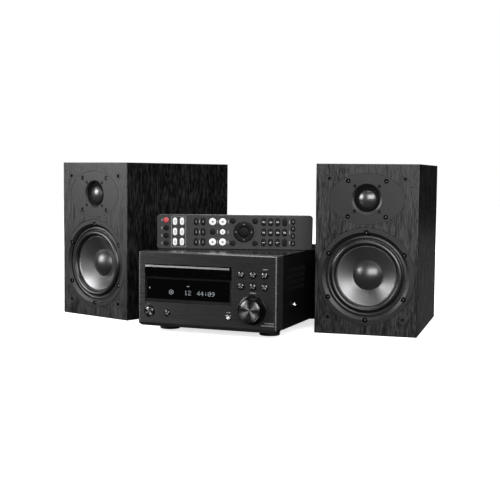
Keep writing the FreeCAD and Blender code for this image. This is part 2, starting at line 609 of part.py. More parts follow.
def remote_batteries():
    """Two cells side by side, each with its raised positive cap, facing opposite ways."""
    solids = []
    depth = PARTING - 2.4 + CELL_R + 0.2
    for side in (-1, 1):
        z = RC_W / 2 + side * (CELL_R + 0.6)
        middle = (from_end(BAY[0]) + from_end(BAY[1])) / 2
        body = Part.makeCylinder(CELL_R, CELL_L - 1, Vector(middle - CELL_L / 2, depth, z), Vector(1, 0, 0))
        cap_x = middle + (CELL_L / 2 - 1 if side > 0 else -CELL_L / 2 - 1)
        cap = Part.makeCylinder(1.9, 1.0, Vector(cap_x, depth, z), Vector(1, 0, 0))
        solids.append(fuse(body, cap))
    return Part.makeCompound(solids)


def direction_ring():
    x, z = from_end(RING[0]), RING[1]
    body = ring(x, z, RING_R, ENTER_R + TRAVEL_GAP, -KEY_PROUD - 0.6, KEY_REACH)
    return body.makeFillet(0.9, [e for e in edges_at(body, y=-KEY_PROUD - 0.6) if e.Length > 80])


def enter_key():
    key = disc(from_end(RING[0]), RING[1], ENTER_R, -KEY_PROUD - 1.0, KEY_REACH)
    return key.makeFillet(1.2, edges_at(key, y=-KEY_PROUD - 1.0))


def make_remote():
    for function in (remote_front_case, remote_back_case, battery_door, direction_ring, enter_key,
                     remote_board, remote_batteries):
        place(function.__name__, function(), "remote")
    place("power_key", key_solids(RED_KEY, []), "remote")
    place("white_keys", key_solids(ROUND_WHITE, PILLS_WHITE), "remote")
    place("dark_keys", key_solids(ROUND_DARK, PILLS_DARK + NUMBER_KEYS + NARROW_KEYS), "remote")


# ---- assembly ----------------------------------------------------------------------------------
def centred():
    """Move the set so that the middle of its floor outline is the origin."""
    whole = Part.makeCompound(list(nodes.values())).BoundBox
    shift = Vector(-(whole.XMin + whole.XMax) / 2, -(whole.YMin + whole.YMax) / 2, 0)
    for shape in nodes.values():
        shape.translate(shift)
    return shift


make_receiver()
make_speaker("left")
make_speaker("right")
make_remote()
SHIFT = centred()

os.makedirs("parts", exist_ok=True)
for name, shape in nodes.items():
    shape.exportStep(f"parts/{name}.step")
print(len(nodes), "nodes, shift", SHIFT)
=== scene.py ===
import json
import math

import bmesh
import bpy
from mathutils import Matrix, Quaternion, Vector


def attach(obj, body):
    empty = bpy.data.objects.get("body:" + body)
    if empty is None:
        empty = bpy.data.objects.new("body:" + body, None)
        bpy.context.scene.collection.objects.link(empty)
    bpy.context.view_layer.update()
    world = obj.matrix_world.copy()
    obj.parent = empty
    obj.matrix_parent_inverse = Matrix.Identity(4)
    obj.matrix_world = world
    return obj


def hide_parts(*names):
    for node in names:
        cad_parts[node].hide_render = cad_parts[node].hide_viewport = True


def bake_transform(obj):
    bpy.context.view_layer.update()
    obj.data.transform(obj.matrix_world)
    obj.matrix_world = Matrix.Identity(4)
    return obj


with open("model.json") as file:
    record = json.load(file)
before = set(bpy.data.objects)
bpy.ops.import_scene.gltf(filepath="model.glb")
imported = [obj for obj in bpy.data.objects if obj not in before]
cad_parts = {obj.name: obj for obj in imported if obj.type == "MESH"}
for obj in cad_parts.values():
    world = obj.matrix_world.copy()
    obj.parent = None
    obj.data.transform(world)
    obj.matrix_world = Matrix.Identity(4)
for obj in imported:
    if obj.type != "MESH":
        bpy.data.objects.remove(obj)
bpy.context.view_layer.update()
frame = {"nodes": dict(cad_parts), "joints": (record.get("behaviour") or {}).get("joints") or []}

# A mini hi-fi system. Pieces are drawn in their unit's own frame, in millimetres: X to the unit's right,
# Y to its back and Z up, with the front face at Y = 0. The units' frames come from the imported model.

MM = 0.001
TURN_STEPS = 144


# ---- the units' own frames ---------------------------------------------------------------------
def joint_axis(name):
    """The direction in which a joint moves, in the row frame."""
    return Vector(next(j["axis"] for j in frame["joints"] if j["name"] == name))


def unit_frame(node, backwards, floor=0.0):
    """From a unit's millimetres to the row frame.

    The node is even about X = 0, has its front at Y = 0 and its lowest point at Z = floor.
    """
    back = Vector(backwards).normalized()
    right = Vector((back.y, -back.x, 0))
    up = Vector((0, 0, 1))
    corners = [v.co for v in frame["nodes"][node].data.vertices]
    lows = [min(axis.dot(c) for c in corners) for axis in (right, back, up)]
    middle = (lows[0] + max(right.dot(c) for c in corners)) / 2
    matrix = Matrix((right, back, up)).transposed().to_4x4()
    matrix.translation = right * middle + back * lows[1] + up * (lows[2] - floor * MM)
    return matrix @ Matrix.Scale(MM, 4)


RECEIVER = unit_frame("fascia", (0, 1, 0), 9.2)
LEFT = unit_frame("left_front_baffle", -joint_axis("left_cone_travel"))
RIGHT = unit_frame("right_front_baffle", -joint_axis("right_cone_travel"))
REMOTE = unit_frame("remote_front_case", joint_axis("cursor_press"))


# ---- node materials ----------------------------------------------------------------------------
class Material:
    """A principled material whose colour, roughness and bump come from procedural nodes."""

    def __init__(self, name, roughness=0.5, metallic=0.0, **inputs):
        self.material = bpy.data.materials.new(name)
        self.material.use_nodes = True
        self.tree = self.material.node_tree
        self.shader = self.tree.nodes["Principled BSDF"]
        self.shader.inputs["Roughness"].default_value = roughness
        self.shader.inputs["Metallic"].default_value = metallic
        for key, value in inputs.items():
            self.shader.inputs[key.replace("_", " ")].default_value = value
        self.normal = None

    def add(self, kind, **settings):
        node = self.tree.nodes.new(kind)
        for key, value in settings.items():
            setattr(node, key, value)
        return node

    def link(self, source, target):
        self.tree.links.new(source, target)

    def coordinates(self, scale=(1, 1, 1), turn=0.0, output="Object", location=(0, 0, 0)):
        """Texture coordinates, turned about Z and then scaled per axis."""
        source = self.add("ShaderNodeTexCoord")
        mapping = self.add("ShaderNodeMapping", vector_type="TEXTURE")
        mapping.inputs["Scale"].default_value = [1 / s for s in scale]
        mapping.inputs["Location"].default_value = location
        mapping.inputs["Rotation"].default_value = (0, 0, turn)
        self.link(source.outputs[output], mapping.inputs["Vector"])
        return mapping.outputs["Vector"]

    def noise(self, vector, scale=1.0, detail=3.0, roughness=0.55):
        noise = self.add("ShaderNodeTexNoise")
        noise.inputs["Scale"].default_value = scale
        noise.inputs["Detail"].default_value = detail
        noise.inputs["Roughness"].default_value = roughness
        self.link(vector, noise.inputs["Vector"])
        return noise.outputs["Fac"]

    def ramp(self, value, *stops):
        """A colour ramp of (position, (r, g, b)) stops."""
        ramp = self.add("ShaderNodeValToRGB")
        elements = ramp.color_ramp.elements
        while len(elements) < len(stops):
            elements.new(0.5)
        for element, (position, colour) in zip(elements, stops):
            element.position = position
            element.color = (*colour, 1)
        self.link(value, ramp.inputs["Fac"])
        return ramp.outputs["Color"]

    def spread(self, value, low, high, source_low=0.3, source_high=0.7):
        """Spread a texture's value over the range low to high."""
        spread = self.add("ShaderNodeMapRange")
        for key, number in zip(("From Min", "From Max", "To Min", "To Max"),
                               (source_low, source_high, low, high)):
            spread.inputs[key].default_value = number
        self.link(value, spread.inputs["Value"])
        return spread.outputs["Result"]

    def mix(self, factor, first, second):
        mix = self.add("ShaderNodeMix", data_type="FLOAT")
        self.link(factor, mix.inputs["Factor"])
        self.link(first, mix.inputs["A"])
        self.link(second, mix.inputs["B"])
        return mix.outputs["Result"]

    def math(self, operation, *values):
        node = self.add("ShaderNodeMath", operation=operation)
        for socket, value in zip(node.inputs, values):
            if isinstance(value, (int, float)):
                socket.default_value = value
            else:
                self.link(value, socket)
        return node.outputs["Value"]

    def colour(self, source):
        self.link(source, self.shader.inputs["Base Color"])

    def rough(self, source):
        self.link(source, self.shader.inputs["Roughness"])

    def bump(self, height, distance, strength=1.0):
        """Bump of the given height in millimetres, on top of any earlier one."""
        bump = self.add("ShaderNodeBump")
        bump.inputs["Distance"].default_value = distance * MM
        bump.inputs["Strength"].default_value = strength
        self.link(height, bump.inputs["Height"])
        if self.normal:
            self.link(self.normal, bump.inputs["Normal"])
        self.normal = bump.outputs["Normal"]
        self.link(self.normal, self.shader.inputs["Normal"])

    def soft_edges(self, radius):
        """Rounds the look of sharp edges by the given radius in millimetres."""
        bevel = self.add("ShaderNodeBevel")
        bevel.samples = 4
        bevel.inputs["Radius"].default_value = radius * MM
        self.normal = bevel.outputs["Normal"]
        self.link(self.normal, self.shader.inputs["Normal"])


def shades(tone, *factors):
    """The tone made darker or lighter by each factor."""
    return [[min(1.0, c * factor) for c in tone] for factor in factors]


def moulded(name, tone, roughness, grain_mm=0.5, bump=0.02, variation=0.12, edge=0.25, **inputs):
    """Moulded plastic, rubber or paint: a fine spark grain, slight blotches of tone and gloss."""
    m = Material(name, roughness, **inputs)
    m.soft_edges(edge)
    fine = m.noise(m.coordinates(), 1 / (grain_mm * MM), 2.0)
    broad = m.noise(m.coordinates(), 1 / (35 * MM), 3.0)
    low, high = shades(tone, 1 - variation, 1 + variation)
    m.colour(m.ramp(broad, (0.3, low), (0.7, high)))
    m.rough(m.spread(broad, roughness * 0.92, min(1, roughness * 1.08)))
    m.bump(fine, bump, 0.5)
    return m.material


HAIRLINES = (12, 900, 900)
HAIRLINE_DEPTH = 0.006


def brushed(name, tone, roughness, anisotropy=0.6):
    """Brushed metal: fine hairlines along X, which draw highlights out up and down."""
    m = Material(name, roughness, 0.9, Anisotropic=anisotropy, Anisotropic_Rotation=0.25)
    m.soft_edges(0.3)
    lines = m.noise(m.coordinates(HAIRLINES), 1.6, 4.0, 0.7)
    broad = m.noise(m.coordinates(), 1 / (60 * MM), 2.0)
    low, high = shades(tone, 0.8, 1.15)
    m.colour(m.ramp(lines, (0.25, low), (0.75, high)))
    m.rough(m.mix(broad, m.spread(lines, roughness * 0.85, roughness * 1.1),
                  m.spread(lines, roughness * 0.95, roughness * 1.2)))
    m.bump(lines, HAIRLINE_DEPTH, 0.4)
    return m.material


LEVEL_FACE = 0.7        # a normal steeper than this belongs to a top or a floor
LEVEL_ROUGHNESS = 0.22  # level faces are this much rougher than upright ones
UPRIGHT_GLOSS = 0.5
LEVEL_GLOSS_LOSS = -0.3
VINYL_RELIEF = 0.12


def ash_vinyl(name, tone, roughness, turn):
    """Black ash foil: pores and flecks that run up the panels, and front to back over top and floor."""
    m = Material(name, roughness)
    m.soft_edges(0.5)
    geometry = m.add("ShaderNodeNewGeometry")
    parts = m.add("ShaderNodeSeparateXYZ")
    m.link(geometry.outputs["Normal"], parts.inputs["Vector"])
    level = m.math("GREATER_THAN", m.math("ABSOLUTE", parts.outputs["Z"]), LEVEL_FACE)

    def grain(across, along, detail, seed):
        upright = m.coordinates((across, across, along), turn, location=(seed, 0, 0))
        flat = m.coordinates((across, along, across), turn, location=(seed, 0, 0))
        return m.mix(level, m.noise(upright, 1.0, detail, 0.6), m.noise(flat, 1.0, detail, 0.6))

    flecks = grain(700, 90, 2.0, 0.4)
    pores = grain(380, 40, 3.0, 0.0)
    bands = grain(90, 5, 2.0, 0.9)
    height = m.math("MULTIPLY_ADD", bands, 0.25, m.math("ADD", flecks, pores))
    figure = m.spread(height, 0, 1, 0.92, 1.32)
    dark, light, bright = shades(tone, 0.3, 1.0, 8.0)
    m.colour(m.ramp(figure, (0.0, dark), (0.5, light), (1.0, bright)))
    grain_roughness = m.spread(figure, roughness * 0.64, roughness * 1.24, 0, 1)
    m.rough(m.math("MULTIPLY_ADD", level, LEVEL_ROUGHNESS, grain_roughness))
    level_gloss = m.math("MULTIPLY_ADD", level, LEVEL_GLOSS_LOSS, UPRIGHT_GLOSS)
    m.link(level_gloss, m.shader.inputs["Specular IOR Level"])
    m.bump(figure, VINYL_RELIEF, 0.8)
    return m.material


TURNED_RINGS = 90.0


def spun_metal(name, tone, roughness, anisotropy):
    """A face turned on a lathe: fine rings round its middle and highlights that fan from it."""
    m = Material(name, roughness, 1.0, Anisotropic=anisotropy, Anisotropic_Rotation=0.25)
    tangent = m.add("ShaderNodeTangent", direction_type="RADIAL", axis="Y")
    m.link(tangent.outputs["Tangent"], m.shader.inputs["Tangent"])
    offset = m.coordinates(output="Generated", location=(0.5, 0.5, 0.5))
    distance = m.add("ShaderNodeVectorMath", operation="LENGTH")
    m.link(offset, distance.inputs[0])
    noise = m.add("ShaderNodeTexNoise", noise_dimensions="1D")
    noise.inputs["Scale"].default_value = TURNED_RINGS
    noise.inputs["Detail"].default_value = 4
    m.link(distance.outputs["Value"], noise.inputs["W"])
    low, high = shades(tone, 0.75, 1.2)
    m.colour(m.ramp(noise.outputs["Fac"], (0.3, low), (0.7, high)))
    m.rough(m.spread(noise.outputs["Fac"], roughness * 0.9, roughness * 1.1))
    return m.material


def polished(name, tone, roughness=0.06, coat=0.6, waviness=0.004, **inputs):
    """Glossy plastic or plate with the slight unevenness of a moulded or lacquered face."""
    m = Material(name, roughness, Coat_Weight=coat, Coat_Roughness=0.03, **inputs)
    m.soft_edges(0.2)
    broad = m.noise(m.coordinates(), 1 / (45 * MM), 1.0)
    dust = m.noise(m.coordinates(), 1 / (0.6 * MM), 2.0)
    m.colour(m.ramp(dust, (0.45, tone), (0.75, [min(1, c * 1.3 + 0.002) for c in tone])))
    m.rough(m.spread(broad, roughness * 0.85, roughness * 1.2))
    m.bump(broad, waviness, 0.4)
    return m.material


def glowing(name, tone, strength):
    """A lit display segment, a little uneven from end to end."""
    m = Material(name, 0.5)
    glow = m.noise(m.coordinates(), 1 / (2 * MM), 2.0)
    low, high = shades(tone, 0.8, 1.0)
    colour = m.ramp(glow, (0.3, low), (0.7, high))
    m.colour(colour)
    m.link(colour, m.shader.inputs["Emission Color"])
    m.shader.inputs["Emission Strength"].default_value = strength
    return m.material


def circuit(name):
    """Lacquered board: green with a pattern of tracks."""
    m = Material(name, 0.35)
    cells = m.add("ShaderNodeTexVoronoi", distance="MANHATTAN")
    cells.inputs["Scale"].default_value = 260
    m.link(m.coordinates(), cells.inputs["Vector"])
    m.colour(m.ramp(cells.outputs["Distance"], (0.2, (0.01, 0.09, 0.03)), (0.55, (0.03, 0.2, 0.07))))
    m.bump(cells.outputs["Distance"], 0.05, 0.4)
    return m.material


LEFT_TURN = math.atan2(LEFT[1][0], LEFT[0][0])
RIGHT_TURN = math.atan2(RIGHT[1][0], RIGHT[0][0])

LOOKS = {
    "fascia": brushed("graphite_metal", (0.12, 0.12, 0.122), 0.28, anisotropy=0.75),
    "cover": moulded("cover_paint", (0.0012, 0.0012, 0.0012), 0.5, 0.35, 0.03, Specular_IOR_Level=0.2),
    "top": polished("top_gloss", (0.001, 0.001, 0.0011), 0.16, 0.0, Specular_IOR_Level=0.12),
    "window": polished("window_gloss", (0.0008, 0.0008, 0.0009), 0.06, 0.1),
    "bezel": polished("window_bevel", (0.0025, 0.0028, 0.0025), 0.4, 0.0, Specular_IOR_Level=0.15),
    "silver": brushed("silver_strip", (0.64, 0.64, 0.645), 0.34),
    "knob": polished("knob_gloss", (0.0015, 0.0015, 0.0016), 0.16, 0.0, Specular_IOR_Level=0.22),
    "knob_face": spun_metal("knob_face_metal", (0.15, 0.15, 0.154), 0.36, 0.92),
    "key_face": spun_metal("key_face_metal", (0.19, 0.19, 0.194), 0.32, 0.94),
    "steel": brushed("bright_steel", (0.62, 0.62, 0.62), 0.28),
    "drive": brushed("drive_steel", (0.2, 0.2, 0.2), 0.35),
    "chrome": polished("chrome", (0.85, 0.85, 0.86), 0.08, Metallic=1.0),
    "gold": polished("gold_plate", (0.8, 0.58, 0.26), 0.18, Metallic=1.0),
    "rubber": moulded("foot_rubber", (0.008, 0.008, 0.008), 0.7, 0.8, 0.04),
    "black_plastic": moulded("black_plastic", (0.007, 0.007, 0.007), 0.5),
    "board": circuit("circuit_board"),
    "left_ash": ash_vinyl("left_ash_vinyl", (0.002, 0.002, 0.0019), 0.45, LEFT_TURN),
    "right_ash": ash_vinyl("right_ash_vinyl", (0.002, 0.002, 0.0019), 0.45, RIGHT_TURN),
    "driver": moulded("driver_plastic", (0.0025, 0.0025, 0.0026), 0.46, 0.35, 0.02),
    "surround": polished("surround_rubber", (0.004, 0.004, 0.004), 0.36, 0.0, 0.0, Specular_IOR_Level=0.6),
    "cone": polished("cone_coating", (0.13, 0.13, 0.132), 0.4, 0.0, Metallic=0.9),
    "cap": polished("cap_gloss", (0.075, 0.075, 0.077), 0.33, 0.0, Metallic=0.8),
    "dome": polished("dome_silk", (0.09, 0.09, 0.092), 0.28, 0.0, Metallic=0.8),
    "dome_roll": moulded("roll_cloth", (0.001, 0.001, 0.001), 0.6, 0.4, 0.01, 0.1, 0.05,
                         Specular_IOR_Level=0.1),
    "screw": polished("black_oxide", (0.0008, 0.0008, 0.0008), 0.32, 0.0, Specular_IOR_Level=0.06),
    "remote": moulded("remote_plastic", (0.014, 0.014, 0.0142), 0.5, 0.35, 0.02, Specular_IOR_Level=0.3),
    "dark_key": moulded("dark_silicone", (0.002, 0.002, 0.0022), 0.45, 0.5, 0.01, Specular_IOR_Level=0.1),
    "white_key": moulded("white_silicone", (0.6, 0.6, 0.61), 0.45, 0.5, 0.01, 0.03),
    "red_key": moulded("red_silicone", (0.36, 0.03, 0.035), 0.42, 0.5, 0.01, 0.05),
    "print_white": moulded("white_print", (0.6, 0.6, 0.61), 0.5, 0.4, 0.004, 0.04, 0.05),
    "print_grey": moulded("grey_print", (0.22, 0.22, 0.222), 0.5, 0.4, 0.004, 0.05, 0.05),
    "print_dark": moulded("dark_print", (0.12, 0.12, 0.12), 0.5, 0.4, 0.004, 0.05, 0.05),
    "red_plastic": moulded("red_plastic", (0.35, 0.012, 0.012), 0.35, 0.5, 0.01),
    "glow": glowing("display_glow", (0.24, 0.265, 0.28), 0.3),
}


# ---- mesh building -----------------------------------------------------------------------------
def finish_piece(name, bm, unit, body, look, replaces=(), crease=32):
    """Turn a bmesh in unit millimetres into a piece that rides on a body."""
    bmesh.ops.remove_doubles(bm, verts=bm.verts, dist=1e-4)
    bm.transform(unit)
    bmesh.ops.recalc_face_normals(bm, faces=bm.faces)
    mesh = bpy.data.meshes.new(name)
    bm.to_mesh(mesh)
    bm.free()
    mesh.shade_smooth()
    mesh.set_sharp_from_angle(angle=math.radians(crease))
    mesh.materials.append(LOOKS[look])
    piece = bpy.data.objects.new(name, mesh)
    bpy.context.scene.collection.objects.link(piece)
    if replaces:
        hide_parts(*replaces)
    if body:
        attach(piece, body)
    return piece


def lathe(bm, centre, outline, closed=True, steps=TURN_STEPS):
    """Turn an outline of (radius, depth) points about the Y axis through centre (x, z)."""
    x, z = centre
    rings = []
    for radius, y in outline:
        if radius < 1e-6:
            rings.append([bm.verts.new((x, y, z))])
            continue
        angles = [2 * math.pi * k / steps for k in range(steps)]
        rings.append([bm.verts.new((x + radius * math.cos(a), y, z + radius * math.sin(a))) for a in angles])
    pairs = list(zip(rings, rings[1:]))
    if closed and len(rings[0]) > 1 and len(rings[-1]) > 1:
        pairs.append((rings[-1], rings[0]))
    for one, two in pairs:
        for k in range(steps):
            corners = [one[k % len(one)], one[(k + 1) % len(one)], two[(k + 1) % len(two)], two[k % len(two)]]
            corners = list(dict.fromkeys(corners))
            if len(corners) > 2:
                bm.faces.new(corners)


def arc(centre, radius, start, end, count=10):
    """Points (r, y) of an arc in a lathe outline, its angles in degrees from +r towards +y."""
    points = []
    for k in range(count + 1):
        a = math.radians(start + (end - start) * k / count)
        points.append((centre[0] + radius * math.cos(a), centre[1] + radius * math.sin(a)))
    return points


def through(first, crest, last, count=24):
    """Points of the circular arc that runs from first through crest to last."""
    (ax, ay), (bx, by), (cx, cy) = first, crest, last
    turn = 2 * (ax * (by - cy) + bx * (cy - ay) + cx * (ay - by))
    a2, b2, c2 = ax * ax + ay * ay, bx * bx + by * by, cx * cx + cy * cy
    x = (a2 * (by - cy) + b2 * (cy - ay) + c2 * (ay - by)) / turn
    y = (a2 * (cx - bx) + b2 * (ax - cx) + c2 * (bx - ax)) / turn
    angles = [math.degrees(math.atan2(p[1] - y, p[0] - x)) for p in (first, crest, last)]
    for k in (1, 2):
        angles[k] += 360 * round((angles[k - 1] - angles[k]) / 360)
    return arc((x, y), math.hypot(ax - x, ay - y), angles[0], angles[2], count)


def cap_arc(rim, base, height, count=24):
    """Points of a spherical dome in a lathe outline, from its crown to its rim."""
    sphere = (rim * rim + height * height) / (2 * height)
    span = math.asin(rim / sphere)
    return [(sphere * math.sin(span * k / count), base - height + sphere * (1 - math.cos(span * k / count)))
            for k in range(count + 1)]


def rounded_outline(x0, x1, z0, z1, radius, count=8):
    """A rounded rectangle's points in the XZ plane."""
    corners = [(x1 - radius, z1 - radius, 0), (x0 + radius, z1 - radius, 90),
               (x0 + radius, z0 + radius, 180), (x1 - radius, z0 + radius, 270)]
    points = []
    for cx, cz, start in corners:
        points += arc((cx, cz), radius, start, start + 90, count)
    return points


def circle_outline(x, z, radius, count=64):
    """A circle's points in the XZ plane."""
    return arc((x, z), radius, 0, 360 * (count - 1) / count, count - 1)


def slab(bm, outline, front, back, edge=0.0, segments=3, crown=0.0):
    """A prism from front to back along Y, with its front edge rounded and its face crowned."""
    middle_x = sum(p[0] for p in outline) / len(outline)
    middle_z = sum(p[1] for p in outline) / len(outline)
    reach = max(math.hypot(x - middle_x, z - middle_z) for x, z in outline)
    count = len(outline)

    def ring(y, share):
        return [bm.verts.new((middle_x + (x - middle_x) * share, y, middle_z + (z - middle_z) * share))
                for x, z in outline]

    def skin(one, two):
        for k in range(count):
            bm.faces.new((one[k], one[(k + 1) % count], two[(k + 1) % count], two[k]))

    last = ring(back, 1.0)
    bm.faces.new(last)
    steps = segments if edge else 0
    for k in range(steps + 1):
        a = math.pi / 2 * k / max(steps, 1)
        following = ring(front + edge * (1 - math.sin(a)), 1 - edge * (1 - math.cos(a)) / reach)
        skin(last, following)
        last = following
    if not crown:
        bm.faces.new(last)
        return
    rim = 1 - edge / reach
    for share in (0.8, 0.55, 0.3, 0.1):
        following = ring(front - crown * (1 - share ** 2), rim * share)
        skin(last, following)
        last = following
    bm.faces.new(last)


def block(bm, x0, x1, y0, y1, z0, z1):
    """A box between the given limits."""
    made = bmesh.ops.create_cube(bm, size=1)
    centre = Vector(((x0 + x1) / 2, (y0 + y1) / 2, (z0 + z1) / 2))
    for v in made["verts"]:
        v.co = Vector((v.co.x * (x1 - x0), v.co.y * (y1 - y0), v.co.z * (z1 - z0))) + centre


PRINT_FRONT = -0.1
PRINT_DEPTH = 0.15


def bars_piece(name, bars, unit, body, look):
    """Thin printed bars, each given by its x and z limits."""
    bm = bmesh.new()
    for x0, x1, z0, z1 in bars:
        radius = min(0.4, (x1 - x0) * 0.45, (z1 - z0) * 0.45)
        slab(bm, rounded_outline(x0, x1, z0, z1, radius, 3), PRINT_FRONT, PRINT_FRONT + PRINT_DEPTH)
    finish_piece(name, bm, unit, body, look)


def paint(look, *nodes):
    """Give CAD nodes one of the looks."""
    for name in nodes:
        materials = frame["nodes"][name].data.materials
        materials.clear()
        materials.append(LOOKS[look])


# ---- speakers ----------------------------------------------------------------------------------
WOOFER = (0.0, 83.0)
TWEETER = (0.0, 191.2)
CAP_R = 21.2
CAP_DEPTH = 18.0
CONE_R = 42.6
CONE_FRONT = 6.4
CONE_LIP_R = 40.6
COIL_R = 13.0
WOOFER_SCREWS_R = 61.5
PLATE_SCREWS = (26.7, 24.9)
INNER_SCREWS = (17.3, 17.6)
BINDING_POSTS = {"red": (-13.0, "red_plastic"), "black": (13.0, "black_plastic")}
BINDING_Z = 81.0


def surround(side, unit):
    """The rubber half roll between the frame and the cone."""
    crest = through((51.5, 4.6), (47.3, 0.7), (43.3, 5.2))
    under = through((44.1, 6.0), (47.3, 1.5), (50.6, 5.4), 16)
    groove = through((53.0, 4.6), (52.2, 5.0), (51.5, 4.6), 6)
    outline = [(57.1, 5.4), (57.1, 4.6), (54.6, 4.2), (53.5, 4.2)] + groove + crest[1:]
    outline += [(42.7, 5.2), (42.7, 6.0)] + under
    bm = bmesh.new()
    lathe(bm, WOOFER, outline)
    piece = finish_piece(f"{side}_rubber_surround", bm, unit, None, "surround",
                         [f"{side}_woofer_surround"], 50)
    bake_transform(piece)


def cone(side, unit):
    """The coated cone with its stepped rim, neck and voice coil former."""
    slope = (CAP_DEPTH - CONE_FRONT - 0.8) / (CONE_LIP_R - CAP_R)
    neck = CAP_DEPTH + slope * (CAP_R - COIL_R)
    curve = []
    for k in range(17):
        share = k / 16
        radius = CONE_LIP_R + (CAP_R - 0.4 - CONE_LIP_R) * share
        sag = 0.5 * math.sin(math.pi * share)
        curve.append((radius, CONE_FRONT + 0.8 + slope * (CONE_LIP_R - radius) - sag))
    outline = [(CONE_R, CONE_FRONT), (41.5, CONE_FRONT), (41.0, CONE_FRONT + 0.7)] + curve
    outline += [(COIL_R, neck), (COIL_R - 0.5, neck), (COIL_R - 0.5, 46), (COIL_R, 46), (COIL_R, neck + 1.2),
                (CAP_R, CAP_DEPTH + 1.0), (41.2, CONE_FRONT + 2.0), (CONE_R, CONE_FRONT + 1.2)]
    bm = bmesh.new()
    lathe(bm, WOOFER, outline)
    finish_piece(f"{side}_coated_cone", bm, unit, f"{side}_cone", "cone",
                 [f"{side}_woofer_cone"])


def domed_cap(name, unit, body, look, node, centre, rim, base, height, wall):
    """A thin spherical dome of the given rim radius, height and wall."""
    outer = cap_arc(rim, base, height, 32)
    inner = [(r * (rim - wall) / rim, y + wall) for r, y in outer[:-1]] + [(rim - wall, base)]
    bm = bmesh.new()
    lathe(bm, centre, outer + inner[::-1])
    finish_piece(name, bm, unit, body, look, [node], 60)


def tweeter_roll(side, unit):
    """The soft ring round the dome."""
    outline = [(12.95, 4.95)] + through((13.0, 4.5), (14.5, 3.5), (16.1, 4.5), 12)
    outline += [(16.4, 4.75), (17.95, 4.75), (17.95, 4.95)]
    bm = bmesh.new()
    lathe(bm, TWEETER, outline)
    finish_piece(f"{side}_dome_roll", bm, unit, f"{side}_speaker", "dome_roll")


def tweeter_corners(across, up):
    """The four corners of a rectangle round the tweeter, given by its half sizes."""
    return [(sx * across, TWEETER[1] + sz * up) for sx in (-1, 1) for sz in (-1, 1)]


def screws(side, unit):
    """Socket-headed screws with a bright dished drive."""
    turns = [math.radians(60 * k) for k in range(6)]
    round_woofer = [(WOOFER_SCREWS_R * math.sin(a), WOOFER[1] + WOOFER_SCREWS_R * math.cos(a)) for a in turns]
    # places, head radius, front, underside and drive radius
    groups = [(round_woofer, 3.45, 0.3, 1.6, 1.5),
              (tweeter_corners(*PLATE_SCREWS), 3.15, 0.3, 1.4, 1.4),
              (tweeter_corners(*INNER_SCREWS), 2.15, 0.1, 0.8, 0.9)]
    heads = bmesh.new()
    drives = bmesh.new()
    for places, head, front, under, drive in groups:
        for centre in places:
            outline = [(0, front + 0.9), (drive, front + 0.8), (drive, front + 0.25)]
            outline += arc((head - 0.5, front + 0.5), 0.5, -90, 0, 4) + [(head, under), (0, under)]
            lathe(heads, centre, outline, steps=24)
            lathe(drives, centre, [(0, front + 0.3), (drive * 0.5, front + 0.42), (drive * 0.75, front + 0.8),
                                   (0, front + 0.88)], steps=18)
    finish_piece(f"{side}_socket_screws", heads, unit, f"{side}_speaker", "screw",
                 [f"{side}_driver_screws"], 40)
    finish_piece(f"{side}_screw_drives", drives, unit, f"{side}_speaker", "drive")


def binding_collars(side, unit):
    """The coloured rings that mark the terminals' polarity."""
    for colour, (x, look) in BINDING_POSTS.items():
        bm = bmesh.new()
        outline = [(5.45, 221.2)] + arc((6.1, 222.0), 0.6, 200, 360, 6) + [(6.7, 228.6)]
        outline += arc((6.1, 228.8), 0.6, 0, 160, 6) + [(5.45, 229.2)]
        lathe(bm, (x, BINDING_Z), outline, steps=48)
        finish_piece(f"{side}_{colour}_collar", bm, unit, f"{side}_speaker", look)


def speaker(side, unit):
    """Everything on one speaker."""
    paint(f"{side}_ash", f"{side}_cabinet", f"{side}_front_baffle")
    paint("driver", f"{side}_woofer_frame", f"{side}_tweeter_plate", f"{side}_terminal_plate")
    paint("black_plastic", f"{side}_grille_sockets", f"{side}_woofer_motor")
    surround(side, unit)
    cone(side, unit)
    domed_cap(f"{side}_gloss_cap", unit, f"{side}_cone", "cap", f"{side}_dust_cap", WOOFER,
              CAP_R, CAP_DEPTH, 9.0, 0.7)
    domed_cap(f"{side}_silk_dome", unit, f"{side}_dome", "dome", f"{side}_tweeter_dome",
              TWEETER, 12.6, 4.9, 4.4, 0.6)
    tweeter_roll(side, unit)
    screws(side, unit)
    binding_collars(side, unit)


# ---- receiver ----------------------------------------------------------------------------------
KNOB = (69.0, 40.2)
KNOB_R = 20.5
KEYS = {"top_left": (52.3, 88), "top_middle": (69.5, 88), "top_right": (86.7, 88),
        "low_left": (52.3, 72), "low_middle": (69.5, 72), "low_right": (86.7, 72)}
POWER = (-86.5, 30.0)
SOURCE = (-59.0, 29.0)
JACK = (34.0, 28.2)
TERMINALS_X = (18.0, 37.0, 56.0, 75.0)
TERMINALS_Z = 46.0
LINE_SOCKETS_X = (-70.0, -54.0, -38.0)
LINE_SOCKETS_Z = (78.0, 94.0)


FACE_DISH = 0.15


def turned_face(name, centre, radius, y, body, look):
    """A thin lathe-turned disc let into a key or a knob."""
    bm = bmesh.new()
    outline = [(0, y + FACE_DISH), (radius * 0.35, y + FACE_DISH * 0.9), (radius * 0.7, y + FACE_DISH * 0.5),
               (radius - 0.25, y), (radius, y + 0.2), (radius, y + 0.45), (0, y + 0.45)]
    lathe(bm, centre, outline, steps=96)
    finish_piece(name, bm, RECEIVER, body, look, crease=50)


